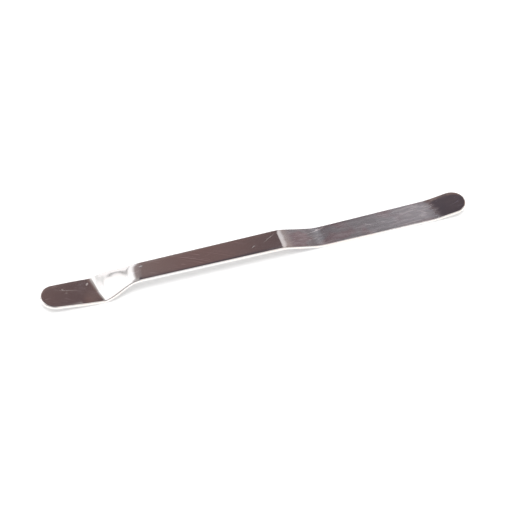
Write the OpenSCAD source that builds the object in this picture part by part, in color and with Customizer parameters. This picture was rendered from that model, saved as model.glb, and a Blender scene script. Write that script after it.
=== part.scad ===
// Laboratory spatula: one strip of stainless steel, cut to its outline, rounded along its edges and
// bent across its length. It lies as it would on a bench, along X, with its middle at the origin:
// the heel of the paddle and the flat of the blade touch z = 0, and the handle stands clear.

/* [Strip] */
// Length along the bench, from the paddle's end to the blade's end
overall_length = 200; // [165:1:260]
// Thickness of the steel
thickness = 1.6; // [1.3:0.1:2.4]
// Radius of the rounded edges
edge_radius = 0.45; // [0.2:0.05:0.6]

/* [Paddle] */
// Width across the paddle's round end
paddle_end_width = 13.4; // [10:0.1:16]
// Width at the heel, where the paddle is widest
heel_width = 15.4; // [12:0.1:20]
// Straight length from the round end to the heel's bend
paddle_length = 23.9; // [18:0.1:30]
// Angle at which the paddle stands up towards its end
paddle_tilt = 6.8; // [1:0.2:14]
// Radius of the bend at the heel
heel_radius = 7; // [3:0.5:12]
// Angle of the heel's bend off square: its end at +Y lies nearer the paddle's end
heel_skew = 15; // [0:1:18]

/* [Joggle] */
// Height of the handle's underside where the joggle reaches it
neck_height = 5.1; // [4.2:0.1:9]
// Slope of the joggle
joggle_angle = 17; // [12:0.5:24]
// Radius of the bend from the joggle into the handle
neck_radius = 21; // [8:1:30]
// Angle of the neck's bend off square: its end at +Y lies nearer the blade
neck_skew = 10; // [0:1:14]
// Length of straight strip over which each skew fades out
skew_fade = 8; // [4:1:12]
// Radius of the crown across the joggle's face
crown_radius = 50; // [40:5:400]
// Length over which the crown rises from the heel
crown_rise = 5; // [3:1:8]
// Length over which the crown fades out before the handle
crown_fade = 14; // [6:1:16]
// Width of the neck, where the strip is narrowest
neck_width = 10.5; // [8:0.1:13]
// Distance from the heel's lowest line to where the strip starts to narrow
flare_start = 4; // [0:0.5:6]
// Length over which the strip narrows from the heel to the neck
flare_length = 14; // [8:0.5:16]

/* [Handle] */
// Straight length of the handle
handle_length = 63.3; // [40:0.1:72]
// Slope at which the handle comes down towards the blade
handle_slope = 0.6; // [0.1:0.1:1]
// Width at the handle's end, which the step keeps
handle_width = 11.8; // [9:0.1:15]

/* [Step] */
// Slope of the step from the handle down to the blade
step_angle = 15; // [10:0.5:20]
// Radius of the crease between the handle and the step
crease_radius = 13; // [4:1:18]
// Radius of the bend where the step lands on the bench
landing_radius = 27; // [10:1:34]

/* [Blade] */
// Width across the blade's round end
blade_end_width = 13.3; // [10:0.1:17]
// Straight length of the turned-up tip
tip_length = 14.3; // [8:0.1:20]
// Angle at which the tip turns up
tip_angle = 8.5; // [1:0.5:14]
// Radius of the bend up to the tip
tip_radius = 40; // [15:5:140]

/* [Smoothness] */
// Largest turn between two sections in a bend, in degrees
bend_step = 3; // [1:0.5:6]
// Largest distance between two sections where the width changes along a curve
flare_step = 1; // [0.5:0.1:2]
// Sections round each round end
end_steps = 14; // [8:1:24]
// Steps round each quarter of a rounded edge
corner_steps = 3; // [2:1:6]
// Steps across each face
face_steps = 6; // [2:1:10]

/* [Hidden] */
steel = [0.71, 0.69, 0.68];
// The round ends start this far round, in degrees, so that the two edges meet in a narrow face
end_start = 1;

// The strip's middle surface is a chain of runs, each [length, slope at its start, slope at its end]
// in degrees, positive where the strip rises towards +X. The slope changes evenly along a run.
function straight(length, slope) = [length, slope, slope];
function bend(radius, from, to) = [radius * abs(to - from) * PI / 180, from, to];

// The turn after a distance along a run, and the step [x, z] from the run's start to there
function turn_after(run, distance) = (run[2] - run[1]) * distance / run[0];
function step_along(run, distance) =
    let (half = turn_after(run, distance) / 2,
         chord = half == 0 ? distance : distance * sin(half) / (half * PI / 180))
    chord * [cos(run[1] + half), sin(run[1] + half)];
function whole_step(run) = step_along(run, run[0]);

// How far an end's rounded lower edge reaches past the end of the middle surface, at a slope
function overhang(slope) =
    (thickness / 2 - edge_radius) * sin(slope) + edge_radius * (1 - cos(slope));

paddle = straight(paddle_length, -paddle_tilt);
heel_in = bend(heel_radius, -paddle_tilt, 0);
heel_out = bend(heel_radius, 0, joggle_angle);
neck = bend(neck_radius, joggle_angle, -handle_slope);
handle = straight(handle_length, -handle_slope);
crease = bend(crease_radius, -handle_slope, -step_angle);
landing = bend(landing_radius, -step_angle, 0);
tip_bend = bend(tip_radius, 0, tip_angle);
tip = straight(tip_length, tip_angle);

// The joggle and the step are as long as their heights need
joggle_rise = neck_height - whole_step(heel_out)[1] - whole_step(neck)[1];
joggle = straight(joggle_rise / sin(joggle_angle), joggle_angle);
step_fall = neck_height + whole_step(handle)[1] + whole_step(crease)[1] + whole_step(landing)[1];
step = straight(step_fall / sin(step_angle), -step_angle);

// The blade's flat takes up what the other runs leave of the overall length
before_blade = [paddle, heel_in, heel_out, joggle, neck, handle, crease, step, landing];
after_blade = [tip_bend, tip];
function reach(runs) = [for (run = runs) whole_step(run)[0]] * [for (run = runs) 1];
flat_length = overall_length - overhang(paddle_tilt) - overhang(tip_angle)
    - reach(before_blade) - reach(after_blade);
runs = concat(before_blade, [straight(flat_length, 0)], after_blade);

// Where each run starts: its distance along the strip, then its place [x, z]
function starts(i = 0, distance = 0, place = [0, 0]) =
    i == len(runs) ? [[distance, place]]
    : concat([[distance, place]],
             starts(i + 1, distance + runs[i][0], place + whole_step(runs[i])));
first_place = [overhang(paddle_tilt) - overall_length / 2,
               thickness / 2 - whole_step(paddle)[1] - whole_step(heel_in)[1]];
run_starts = starts(place = first_place);
strip_length = run_starts[len(runs)][0];
heel_at = run_starts[2][0];
neck_at = run_starts[5][0];
crease_at = run_starts[6][0];
landing_at = run_starts[9][0];

// From 0 to 1 with no jump in slope, as a share goes from 0 to 1
function ease(share) = (1 - cos(180 * max(0, min(1, share)))) / 2;

// How far along the strip each step towards +Y meets the bends, from the two skews
function slant(along) =
    let (at_neck = ease((along - heel_at) / (neck_at - heel_at)))
    along < heel_at ? tan(heel_skew) * ease(1 - (heel_at - along) / skew_fade)
    : along < neck_at ? tan(heel_skew) * (1 - at_neck) - tan(neck_skew) * at_neck
    : -tan(neck_skew) * ease(1 - (along - neck_at) / skew_fade);

// How far the crown lifts the face between the edges
function crown(along, y) =
    ease((along - heel_at) / crown_rise) * ease((neck_at - along) / crown_fade)
    * (pow(half_at(along), 2) - y * y) / (2 * crown_radius);

// A point of the bent strip, from its place along and across the flat blank and its height above
// the middle surface
function run_at(distance, i = 0) =
    i == len(runs) - 1 || distance < run_starts[i + 1][0] ? i : run_at(distance, i + 1);
function bent(along, y, height) =
    let (distance = along + y * slant(along),
         i = run_at(distance),
         past = distance - run_starts[i][0],
         place = run_starts[i][1] + step_along(runs[i], past),
         slope = runs[i][1] + turn_after(runs[i], past))
    [place[0] - (distance - along) * cos(slope) - height * sin(slope),
     y,
     place[1] + height * cos(slope) + crown(along, y)];

// The outline of the flat blank, as half widths. A side leaves a round end of this radius at the
// angle that brings it to a half width at a distance from the centre of the round.
function side_angle(radius, distance, half) =
    atan2(half, distance) - asin(radius / norm([distance, half]));
function side_half(radius, angle, distance) =
    radius / cos(angle) + distance * tan(angle);
paddle_round = paddle_end_width / 2;
blade_round = blade_end_width / 2;
paddle_side = side_angle(paddle_round, heel_at - paddle_round, heel_width / 2);
blade_side = side_angle(blade_round, strip_length - blade_round - landing_at, handle_width / 2);

function paddle_half(distance) =
    side_half(paddle_round, paddle_side, min(distance, heel_at) - paddle_round);
function strip_half(distance) =
    distance < landing_at
    ? lookup(distance, [[neck_at, neck_width / 2], [crease_at, handle_width / 2]])
    : side_half(blade_round, blade_side, strip_length - blade_round - distance);
function half_at(distance) =
    let (flare = ease((distance - heel_at - flare_start) / flare_length))
    paddle_half(distance) * (1 - flare) + strip_half(distance) * flare;

// A station of the outline is [place along, half width, outward normal in the flat]. A section has
// one for each side, and they differ where a section slants to follow the skewed bend.
function round_end(radius, side) = [
    for (i = [0 : end_steps])
        let (angle = end_start + (90 - side - end_start) * i / end_steps)
        [radius * (1 - cos(angle)), radius * sin(angle), [-cos(angle), sin(angle)]]
];
function side_station(distance, side) =
    let (nudge = 0.01,
         along = distance - side * half_at(distance) * slant(distance),
         lean = atan((half_at(along + nudge) - half_at(along - nudge)) / (2 * nudge)))
    [along, half_at(along), [-sin(lean), cos(lean)]];
function both_sides(distance) = [for (side = [-1, 1]) side_station(distance, side)];
function steps_in(run, flares) =
    max(ceil(abs(run[2] - run[1]) / bend_step), flares ? ceil(run[0] / flare_step) : 1);
paddle_outline = [for (p = round_end(paddle_round, paddle_side)) [p, p]];
blade_outline = [
    for (i = [end_steps : -1 : 0])
        let (p = round_end(blade_round, blade_side)[i],
             station = [strip_length - p[0], p[1], [-p[2][0], p[2][1]]])
        [station, station]
];
skew_outline = [
    for (distance = [heel_at - skew_fade : flare_step : run_starts[1][0] - flare_step / 2])
        both_sides(distance)
];
// The runs from the heel to the neck narrow as they bend, so they get sections all along
side_outline = [
    for (i = [1 : len(runs) - 1])
        let (steps = steps_in(runs[i], i >= 1 && i <= 4))
        for (j = [0 : steps - 1])
            both_sides(run_starts[i][0] + runs[i][0] * j / steps)
];
outline = concat(paddle_outline, skew_outline, side_outline, blade_outline);

// A rounded edge, from the side up to the face: [distance in from the edge, height]
edge_profile = [
    for (i = [0 : corner_steps])
        let (angle = 90 * i / corner_steps)
        [edge_radius * (1 - cos(angle)), thickness / 2 - edge_radius + edge_radius * sin(angle)]
];
function inset(station, side, distance) =
    [station[0] - distance * station[2][0], side * (station[1] - distance * station[2][1])];
function reversed(list) = [for (i = [len(list) - 1 : -1 : 0]) list[i]];

// One face of a section from the edge at -Y to the edge at +Y, with face 1 for the top and -1 for
// the underside, and the whole section: over the top face, then back along the underside
function face_points(pair, face) =
    let (near = [for (p = edge_profile) [inset(pair[0], -1, p[0]), p[1]]],
         far = [for (p = reversed(edge_profile)) [inset(pair[1], 1, p[0]), p[1]]],
         start = near[corner_steps],
         end = far[0],
         across = [for (k = [1 : face_steps - 1]) start + (end - start) * k / face_steps])
    [for (p = concat(near, across, far)) bent(p[0][0], p[0][1], face * p[1])];
function section(pair) = concat(face_points(pair, 1), reversed(face_points(pair, -1)));

module loft(sections) {
    around = len(sections[0]);
    last = (len(sections) - 1) * around;
    sides = [
        for (i = [0 : len(sections) - 2], j = [0 : around - 1])
            let (k = (j + 1) % around, a = i * around, b = a + around)
            [a + j, b + j, b + k, a + k]
    ];
    // Each end closes with quads between the top face and the underside
    ends = [
        for (j = [0 : around / 2 - 2])
            let (k = around - 1 - j)
            each [[j, j + 1, k - 1, k], [last + k, last + k - 1, last + j + 1, last + j]]
    ];
    triangles = [for (quad = concat(sides, ends))
        each [[quad[0], quad[1], quad[2]], [quad[0], quad[2], quad[3]]]];
    polyhedron([for (section = sections) each section], triangles);
}

module spatula() {
    color(steel) loft([for (pair = outline) section(pair)]);
}

spatula();
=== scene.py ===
"""The lab spatula's looks: one strip of stainless steel, polished on the paddle, joggle, handle
and tip and brushed on the step and blade, on a white floor. Lengths are in metres and angles in
degrees."""

import math

import bmesh
import bpy
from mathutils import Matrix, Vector


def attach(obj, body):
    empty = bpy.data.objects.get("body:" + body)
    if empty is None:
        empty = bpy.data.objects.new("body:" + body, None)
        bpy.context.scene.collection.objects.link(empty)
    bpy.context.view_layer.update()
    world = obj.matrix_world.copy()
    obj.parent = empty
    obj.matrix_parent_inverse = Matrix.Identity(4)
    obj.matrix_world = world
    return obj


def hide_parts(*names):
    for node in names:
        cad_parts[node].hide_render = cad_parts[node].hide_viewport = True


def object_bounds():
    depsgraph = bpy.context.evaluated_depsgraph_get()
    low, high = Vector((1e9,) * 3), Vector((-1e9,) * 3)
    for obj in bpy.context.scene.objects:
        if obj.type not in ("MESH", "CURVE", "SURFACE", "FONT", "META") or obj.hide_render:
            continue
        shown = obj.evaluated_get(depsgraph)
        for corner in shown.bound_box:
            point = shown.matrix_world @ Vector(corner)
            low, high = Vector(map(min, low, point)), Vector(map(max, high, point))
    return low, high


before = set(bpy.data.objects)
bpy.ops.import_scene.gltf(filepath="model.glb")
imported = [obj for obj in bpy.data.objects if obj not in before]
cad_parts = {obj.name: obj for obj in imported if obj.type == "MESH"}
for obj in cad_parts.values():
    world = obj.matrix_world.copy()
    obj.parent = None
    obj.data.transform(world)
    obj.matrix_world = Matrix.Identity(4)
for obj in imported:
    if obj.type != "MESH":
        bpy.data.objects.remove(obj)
cad_low, cad_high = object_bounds()
MM = 0.001
BLACK = (0.0, 0.0, 0.0)
WHITE = (1.0, 1.0, 1.0)

# Camera: where it stands round the object, the point it looks at beside the box's middle, the
# lens and sensor in mm, and the nearest thing it shows
VIEW_AZIMUTH = 18.2
VIEW_ELEVATION = 46.82
VIEW_DISTANCE = 624.2 * MM
AIM_OFFSET = Vector((-3.06, -4.31, 0)) * MM
LENS = 98.44
SENSOR = 36
NEAREST_SHOWN = 10 * MM

# Mesh: points closer than this are one point, so that the shading runs smoothly over them
WELD_DISTANCE = 0.001 * MM

# Where each finish lies: the brushed one runs from the crease to the tip, and its border at the
# tip leans across the strip and wanders. A border's change reaches its SOFT to each side.
CREASE_X = 11.2 * MM
CREASE_SOFT = 1.2 * MM
TIP_X = 85 * MM
TIP_SOFT = 2.2 * MM
TIP_LEAN = 0.2
TIP_WANDER = 5 * MM
# The upper and lower faces' finish takes over from the polished edges from the first to the
# second of these values of the normal's z
FACE_NORMAL = (0.75, 0.93)
# The brushed steel turns dull past the crease and worn towards the tip, and less worn beside the
# edges, each from its first to its second value. The bend that lands on the bench gets painted
# shade: its colour is darkened there to mute the light that it mirrors.
DULL_X = (12 * MM, 16 * MM)
WORN_X = (56 * MM, 76 * MM)
LESS_WORN_Y = (4 * MM, 6.2 * MM)
WORN_BESIDE_EDGES = 0.3
LANDING_STARTS = (22 * MM, 26 * MM)
LANDING_ENDS = (28.5 * MM, 31.5 * MM)
LANDING_PAINTED_SHADE = 0.2

# Colours of the polished and the brushed steel, in two tones each, and of wear and scratches
POLISHED_COLOURS = ((0.71, 0.69, 0.68), (0.73, 0.68, 0.65))
BRUSHED_COLOURS = ((0.47, 0.475, 0.50), (0.48, 0.405, 0.43))
WORN_COLOUR = (0.62, 0.63, 0.67)
RUBBED_COLOUR = (0.92, 0.92, 0.95)
SCRATCHED_COLOUR = (0.95, 0.93, 0.95)

# Roughness: the least and most that smudges and streaks give, what wear adds, and in a mark
POLISHED_ROUGHNESS = (0.07, 0.1)
BRUSHED_ROUGHNESS = (0.18, 0.3)
WORN_ROUGHER = 0.08
MARK_ROUGHNESS = 0.75

# Noise patterns: the squeeze along x, y and z, and the noise's scale, detail and roughness
TIP_NOISE = ((0.5, 1, 1), 400, 2, 0.5)
SMUDGES = ((1, 2.5, 1), 90, 3, 0.5)
FINE_STREAKS = ((12, 900, 12), 3, 4, 0.6)
BROAD_STREAKS = ((60, 420, 60), 2, 2, 0.5)
PATCHES = ((0.5, 1.3, 1), 60, 2, 0.5)
STAINS = ((1, 1.6, 1), 85, 2, 0.5)
RUBS = ((0.17, 1, 1), 1000, 2, 0.6)
NOISE_MIDDLE = 0.5
# The noise at which each starts to show, and at which it shows in full
SMUDGES_SHOW = (0.3, 0.8)
STREAKS_SHOW = (0.35, 0.65)
PATCHES_SHOW = (0.35, 0.65)
STAINS_SHOW = (0.45, 0.62)
RUBS_SHOW = (0.48, 0.66)
# The rubs' strength on unworn and on worn steel
RUBS_STRENGTH = (0.25, 0.75)
# The relief of the brushed grain
GRAIN_STRENGTH = 0.5
GRAIN_DEPTH = 0.02 * MM

# Scratches: each set's slant and the noise whose middle they follow, how wide a line is in that
# noise, and the noise that says where they show
SCRATCH_SETS = [
    (28, ((0.03, 1, 1), 900, 0, 0.5)),
    (-12, ((0.03, 1, 1), 800, 0, 0.5)),
]
SCRATCH_WIDTH = 0.03
SCRATCH_PLACES = ((0.5, 1, 1), 220, 1, 0.5)
SCRATCH_PLACES_SHOW = (0.55, 0.66)

# Marks on the upper face: x, y, slant, length and width in mm, and strength
MARKS = [
    (-88.3, 2.2, -12, 13, 0.7, 0.25),
    (-89.5, 3.1, 0, 1.5, 1.3, 0.4),
    (-88.3, 0.6, 0, 1.4, 1.4, 0.2),
    (-78.4, 4.1, 60, 2.4, 1.2, 0.75),
    (-54.2, 2.6, 10, 2.8, 1.5, 0.5),
    (-3.1, -1.0, 30, 3.4, 0.8, 0.45),
    (5.1, 2.0, 31, 10.5, 0.6, 0.35),
]
# A mark is full up to this share of the way from its middle to its rim, and fades from there
MARK_CORE = 0.2

# Light: an even dome, and a broad lamp nearly overhead, at an azimuth and elevation
DOME = 0.82
LAMP = 5.5
LAMP_TOWARDS = (190, 80)
LAMP_HALF_ANGLE = 12
LAMP_SOFT = 5

# Floor: its own white, and the glow that the camera and the steel see on it
FLOOR_SIZE = 6.0
FLOOR_WHITE = (0.85, 0.85, 0.85)
FLOOR_GLOW = 0.34
FLOOR_GLOW_IN_STEEL = 0.72

# The room that the steel mirrors: grey, with these cards painted over it from the first to the
# last. Azimuths run from +Y towards +X, and from the first one round to it again. A card's sides
# lean by so many degrees of azimuth for each degree of elevation above the card's middle.
ROOM_GREY = (0.5, 0.5, 0.51)
FIRST_AZIMUTH = -90
FULL_TURN = 360
CARDS = [
    # (azimuths, elevations, lean, soft sides, soft top and bottom, colour)
    # For the other views: a dark low band, two light cards and a white one
    ((60, 300), (-20, 30), 0, 20, 14, (0.17, 0.16, 0.165)),
    ((215, 262), (34, 70), 0, 10, 8, (1.0, 1.0, 1.02)),
    ((85, 118), (36, 66), 0, 8, 8, (0.9, 0.9, 0.92)),
    ((140, 172), (27, 74), 0, 5, 5, (1.5, 1.5, 1.5)),
    # White for the joggle
    ((-84, 30), (-10, 68), 0, 8, 6, (1.5, 1.54, 1.58)),
    # Dark for the flats, with a grey veil at its end for the heel's bend
    ((-7, 80), (0, 76), 0, 5, 4, (0.36, 0.3, 0.3)),
    ((-20, 7), (48.5, 60), 0, 5, 1, (0.52, 0.5, 0.5)),
    # Darker for the handle and blade, for the paddle, warmer for the handle, darkest for the tip
    ((11, 80), (0, 76), 0, 11, 4, (0.25, 0.18, 0.17)),
    ((14.0, 25), (33, 78), -0.4, 4, 4, (0.15, 0.107, 0.114)),
    ((13.6, 18.3), (44, 60), 0, 2.6, 1.5, (0.235, 0.15, 0.145)),
    ((4, 24), (48.6, 78), 0, 3, 1.5, (0.097, 0.082, 0.1)),
    # Grey for the step, and the light line along the crease
    ((37, 70), (10, 34), 0, 3, 3, (0.46, 0.4, 0.405)),
    ((26.3, 37), (31, 48), -0.4, 1.3, 3, (0.9, 0.87, 0.89)),
    # White low down, and on the joggle a pale grey patch and the grey streak
    ((-60, 1.5), (20, 43), 0, 6, 2.5, (1.4, 1.44, 1.5)),
    ((-38, -20), (38, 42.5), 0, 4, 1.2, (1.05, 1.1, 1.13)),
    ((-16.6, -14.1), (37.9, 42.2), -1.6, 0.9, 0.9, (0.36, 0.37, 0.38)),
]


def direction(azimuth, elevation):
    """The unit vector that looks along an azimuth from +Y towards +X, and up at an elevation."""
    a, e = math.radians(azimuth), math.radians(elevation)
    return Vector((math.sin(a) * math.cos(e), math.cos(a) * math.cos(e), math.sin(e)))


class Nodes:
    """A material's or world's node tree, with short ways to add and join nodes."""

    def __init__(self, owner):
        owner.use_nodes = True
        self.tree = owner.node_tree
        self.tree.nodes.clear()

    def set(self, socket, value):
        """Links a socket to another node's output, or gives it a constant."""
        if isinstance(value, bpy.types.NodeSocket):
            self.tree.links.new(value, socket)
        else:
            socket.default_value = value

    def add(self, kind, settings=None, **inputs):
        """A new node. An input is named by its socket, or i0, i1 and so on by its place."""
        node = self.tree.nodes.new(kind)
        for name, value in (settings or {}).items():
            setattr(node, name, value)
        for name, value in inputs.items():
            key = int(name[1:]) if name[1:].isdigit() else name.replace("_", " ")
            self.set(node.inputs[key], value)
        return node

    def math(self, operation, *values):
        inputs = {f"i{i}": value for i, value in enumerate(values)}
        return self.add("ShaderNodeMath", {"operation": operation}, **inputs).outputs[0]

    def multiply(self, a, b):
        return self.math("MULTIPLY", a, b)

    def blend(self, share, a, b):
        """From the number a to the number b, as share goes from 0 to 1."""
        return self.math("MULTIPLY_ADD", self.math("SUBTRACT", b, a), share, a)

    def ramp(self, value, start, end, low=0.0, high=1.0):
        """From low to high, level at both ends, as value goes from start to end."""
        settings = {"interpolation_type": "SMOOTHSTEP"}
        limits = {"From_Min": start, "From_Max": end, "To_Min": low, "To_Max": high}
        return self.add("ShaderNodeMapRange", settings, Value=value, **limits).outputs["Result"]

    def mix(self, share, a, b):
        """A mix of two colours."""
        node = self.add("ShaderNodeMix", {"data_type": "RGBA"})
        for socket, value in zip((node.inputs[0], node.inputs[6], node.inputs[7]), (share, a, b)):
            self.set(socket, (*value, 1) if isinstance(value, tuple) else value)
        return node.outputs[2]

    def split(self, vector):
        """A vector's outputs X, Y and Z."""
        return self.add("ShaderNodeSeparateXYZ", Vector=vector).outputs

    def noise(self, place, squeeze, scale, detail, roughness):
        squeezed = self.add("ShaderNodeMapping", Vector=place, Scale=squeeze).outputs[0]
        settings = {"Scale": scale, "Detail": detail, "Roughness": roughness}
        return self.add("ShaderNodeTexNoise", Vector=squeezed, **settings).outputs["Fac"]


def make_camera():
    aim = (cad_low + cad_high) / 2 + AIM_OFFSET
    camera = bpy.data.objects.new("camera", bpy.data.cameras.new("camera"))
    bpy.context.scene.collection.objects.link(camera)
    looking = direction(VIEW_AZIMUTH, -VIEW_ELEVATION)
    camera.location = aim - looking * VIEW_DISTANCE
    camera.rotation_euler = looking.to_track_quat("-Z", "Y").to_euler()
    camera.data.lens = LENS
    camera.data.sensor_width = SENSOR
    camera.data.clip_start = NEAREST_SHOWN
    bpy.context.scene.camera = camera


def finish_places(nodes, place, on_face):
    """Three shares: how brushed, how worn, and how dull the steel is at each point."""
    x, y, _ = nodes.split(place)
    wander = nodes.math("SUBTRACT", nodes.noise(place, *TIP_NOISE), NOISE_MIDDLE)
    tip_x = nodes.math("MULTIPLY_ADD", y, TIP_LEAN, x)
    tip_x = nodes.math("MULTIPLY_ADD", wander, TIP_WANDER, tip_x)
    past_crease = nodes.ramp(x, CREASE_X - CREASE_SOFT, CREASE_X + CREASE_SOFT)
    before_tip = nodes.ramp(tip_x, TIP_X - TIP_SOFT, TIP_X + TIP_SOFT, 1.0, 0.0)
    brushed = nodes.multiply(nodes.multiply(past_crease, before_tip), on_face)

    off_middle = nodes.math("ABSOLUTE", y)
    worn_across = nodes.ramp(off_middle, *LESS_WORN_Y, 1.0, WORN_BESIDE_EDGES)
    worn = nodes.multiply(nodes.ramp(tip_x, *WORN_X), worn_across)
    dull = nodes.multiply(nodes.ramp(x, *DULL_X), brushed)
    return brushed, worn, dull


def streak_noise(nodes, place):
    """The brushed grain: the mean of fine and broad streaks along the strip."""
    fine = nodes.multiply(nodes.noise(place, *FINE_STREAKS), 0.5)
    broad = nodes.multiply(nodes.noise(place, *BROAD_STREAKS), 0.5)
    return nodes.math("ADD", fine, broad)


def steel_colour(nodes, place, worn, dull):
    """Polished steel, and over it the brushed steel's stains, wear and rubs, and painted shade on
    the bend that lands on the bench.
    """
    patches = nodes.ramp(nodes.noise(place, *PATCHES), *PATCHES_SHOW)
    polished_colour = nodes.mix(patches, *POLISHED_COLOURS)

    stains = nodes.ramp(nodes.noise(place, *STAINS), *STAINS_SHOW)
    brushed_colour = nodes.mix(stains, *BRUSHED_COLOURS)
    brushed_colour = nodes.mix(worn, brushed_colour, WORN_COLOUR)
    rubs = nodes.ramp(nodes.noise(place, *RUBS), *RUBS_SHOW)
    rubbed = nodes.multiply(rubs, nodes.ramp(worn, 0.0, 1.0, *RUBS_STRENGTH))
    brushed_colour = nodes.mix(rubbed, brushed_colour, RUBBED_COLOUR)
    x = nodes.split(place)["X"]
    # Painted shade: the bend that lands on the bench is darkened, to mute the light that it
    # mirrors
    landed = nodes.ramp(x, *LANDING_STARTS)
    landing_painted_shade = nodes.multiply(landed, nodes.ramp(x, *LANDING_ENDS, 1.0, 0.0))
    brushed_colour = nodes.mix(nodes.multiply(landing_painted_shade, LANDING_PAINTED_SHADE), brushed_colour, BLACK)
    return nodes.mix(dull, polished_colour, brushed_colour)


def scratched(nodes, place, on_face, colour):
    """The colour with fine scratches over it, where a noise crosses its middle."""
    for slant, scratch_noise in SCRATCH_SETS:
        turned = nodes.add("ShaderNodeVectorRotate", Vector=place, Angle=math.radians(slant))
        turned = turned.outputs[0]
        off_line = nodes.math("SUBTRACT", nodes.noise(turned, *scratch_noise), NOISE_MIDDLE)
        line = nodes.ramp(nodes.math("ABSOLUTE", off_line), 0.0, SCRATCH_WIDTH, 1.0, 0.0)
        here = nodes.ramp(nodes.noise(turned, *SCRATCH_PLACES), *SCRATCH_PLACES_SHOW)
        share = nodes.multiply(nodes.multiply(line, here), on_face)
        colour = nodes.mix(share, colour, SCRATCHED_COLOUR)
    return colour


def steel_roughness(nodes, place, brushed, worn, streaks, on_top):
    """Polished and brushed roughness, and over both the single marks on the upper face."""
    smudges = nodes.noise(place, *SMUDGES)
    polished_roughness = nodes.ramp(smudges, *SMUDGES_SHOW, *POLISHED_ROUGHNESS)
    brushed_roughness = nodes.ramp(streaks, *STREAKS_SHOW, *BRUSHED_ROUGHNESS)
    brushed_roughness = nodes.math("MULTIPLY_ADD", worn, WORN_ROUGHER, brushed_roughness)
    roughness = nodes.blend(brushed, polished_roughness, brushed_roughness)

    marked = 0.0
    for x, y, slant, length, width, strength in MARKS:
        moved = nodes.add(
            "ShaderNodeMapping",
            {"vector_type": "TEXTURE"},
            Vector=place,
            Location=(x * MM, y * MM, 0),
            Rotation=(0, 0, math.radians(slant)),
            Scale=(length / 2 * MM, width / 2 * MM, 1),
        ).outputs[0]
        off_mark = nodes.add("ShaderNodeVectorMath", {"operation": "LENGTH"}, i0=moved)
        mark = nodes.ramp(off_mark.outputs["Value"], MARK_CORE, 1.0, strength, 0.0)
        marked = nodes.math("MAXIMUM", marked, mark)
    return nodes.blend(nodes.multiply(marked, on_top), roughness, MARK_ROUGHNESS)


def steel():
    """Stainless steel: brushed on the step and blade, and polished on the rest of the strip."""
    material = bpy.data.materials.new("steel")
    nodes = Nodes(material)
    texture = nodes.add("ShaderNodeTexCoord").outputs
    place = texture["Object"]
    up = nodes.split(texture["Normal"])["Z"]
    on_top = nodes.ramp(up, *FACE_NORMAL)
    on_face = nodes.ramp(nodes.math("ABSOLUTE", up), *FACE_NORMAL)
    brushed, worn, dull = finish_places(nodes, place, on_face)
    streaks = streak_noise(nodes, place)
    grain = nodes.add(
        "ShaderNodeBump",
        Height=nodes.multiply(streaks, brushed),
        Strength=GRAIN_STRENGTH,
        Distance=GRAIN_DEPTH,
    )
    shader = nodes.add(
        "ShaderNodeBsdfPrincipled",
        Base_Color=scratched(nodes, place, on_face, steel_colour(nodes, place, worn, dull)),
        Metallic=1.0,
        Roughness=steel_roughness(nodes, place, brushed, worn, streaks, on_top),
        Normal=grain.outputs["Normal"],
    )
    nodes.add("ShaderNodeOutputMaterial", Surface=shader.outputs[0])
    return material


def smooth_strip(node):
    """The CAD strip with its shading smooth round the bends and edges."""
    bm = bmesh.new()
    bm.from_mesh(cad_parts[node].data)
    bmesh.ops.remove_doubles(bm, verts=bm.verts, dist=WELD_DISTANCE)
    bm.normal_update()
    mesh = bpy.data.meshes.new("spatula_steel")
    bm.to_mesh(mesh)
    bm.free()
    mesh.shade_smooth()
    piece = bpy.data.objects.new("spatula_steel", mesh)
    bpy.context.scene.collection.objects.link(piece)
    piece.modifiers.new("normals", "WEIGHTED_NORMAL")
    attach(piece, "root")
    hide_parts(node)
    return piece


def seen_in_steel(nodes, path):
    """1 on what the camera sees in the steel, and 0 on light that the steel throws on the floor,
    which has a diffuse depth of 1 or more, so that the floor keeps its shadow."""
    not_from_floor = nodes.math("LESS_THAN", path["Diffuse Depth"], 0.5)
    return nodes.multiply(path["Is Glossy Ray"], not_from_floor)


def make_floor():
    """White where the camera and the steel see it, and it keeps the object's shadow."""
    mesh = bpy.data.meshes.new("floor")
    half = FLOOR_SIZE / 2
    corners = [(-half, -half, 0), (half, -half, 0), (half, half, 0), (-half, half, 0)]
    mesh.from_pydata(corners, [], [(0, 1, 2, 3)])
    floor = bpy.data.objects.new("floor", mesh)
    floor.location.z = cad_low.z
    bpy.context.scene.collection.objects.link(floor)

    material = bpy.data.materials.new("floor")
    nodes = Nodes(material)
    path = nodes.add("ShaderNodeLightPath").outputs
    to_camera = nodes.multiply(path["Is Camera Ray"], FLOOR_GLOW)
    to_steel = nodes.multiply(seen_in_steel(nodes, path), FLOOR_GLOW_IN_STEEL)
    glow = nodes.math("ADD", to_camera, to_steel)
    diffuse = nodes.add("ShaderNodeBsdfDiffuse", Color=(*FLOOR_WHITE, 1)).outputs[0]
    emission = nodes.add("ShaderNodeEmission", Strength=glow).outputs[0]
    both = nodes.add("ShaderNodeAddShader", i0=diffuse, i1=emission).outputs[0]
    nodes.add("ShaderNodeOutputMaterial", Surface=both)
    mesh.materials.append(material)


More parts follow.
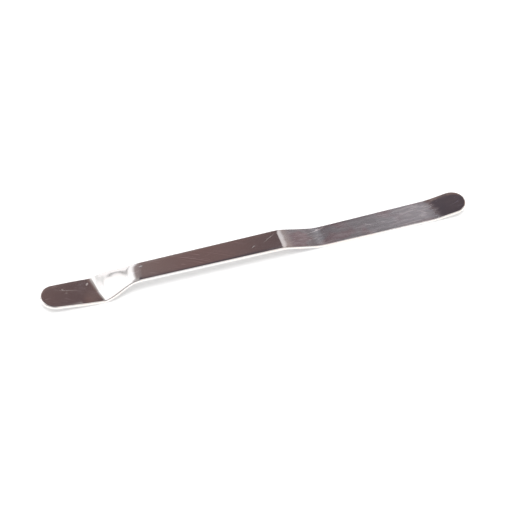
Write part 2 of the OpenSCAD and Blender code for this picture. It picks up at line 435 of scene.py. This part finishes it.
def mirrored_room(nodes, towards):
    """The room's colour in each direction: its grey, with the cards painted over it."""
    x, y, z = nodes.split(towards)
    elevation = nodes.math("DEGREES", nodes.math("ARCSINE", z))
    compass = nodes.math("DEGREES", nodes.math("ARCTAN2", x, y))
    before_first = nodes.math("LESS_THAN", compass, FIRST_AZIMUTH)
    azimuth = nodes.math("MULTIPLY_ADD", before_first, FULL_TURN, compass)

    def between(angle, limits, soft):
        rise = nodes.ramp(angle, limits[0] - soft, limits[0] + soft)
        fall = nodes.ramp(angle, limits[1] - soft, limits[1] + soft, 1.0, 0.0)
        return nodes.multiply(rise, fall)

    room = ROOM_GREY
    for azimuths, elevations, lean, soft_sides, soft_ends, colour in CARDS:
        above_middle = nodes.math("SUBTRACT", elevation, sum(elevations) / 2)
        across = nodes.math("MULTIPLY_ADD", above_middle, -lean, azimuth)
        in_azimuth = between(across, azimuths, soft_sides)
        share = nodes.multiply(in_azimuth, between(elevation, elevations, soft_ends))
        room = nodes.mix(share, room, colour)
    return room


def make_studio():
    """An even white dome for light and background, and the room that only the steel mirrors."""
    world = bpy.data.worlds.new("studio")
    bpy.context.scene.world = world
    nodes = Nodes(world)
    towards = nodes.add("ShaderNodeTexCoord").outputs["Generated"]
    from_lamp = nodes.add(
        "ShaderNodeVectorMath",
        {"operation": "DOT_PRODUCT"},
        i0=towards,
        i1=direction(*LAMP_TOWARDS),
    ).outputs["Value"]
    rim = math.cos(math.radians(LAMP_HALF_ANGLE + LAMP_SOFT))
    core = math.cos(math.radians(LAMP_HALF_ANGLE - LAMP_SOFT))
    light = nodes.ramp(from_lamp, rim, core, DOME, DOME + LAMP)
    path = nodes.add("ShaderNodeLightPath").outputs
    colour = nodes.mix(seen_in_steel(nodes, path), light, mirrored_room(nodes, towards))
    colour = nodes.mix(path["Is Camera Ray"], colour, WHITE)
    background = nodes.add("ShaderNodeBackground", Color=colour).outputs[0]
    nodes.add("ShaderNodeOutputWorld", Surface=background)


make_camera()
make_studio()
make_floor()
strip = smooth_strip("spatula")
strip.data.materials.clear()
strip.data.materials.append(steel())

bpy.context.scene.view_settings.view_transform = "Standard"
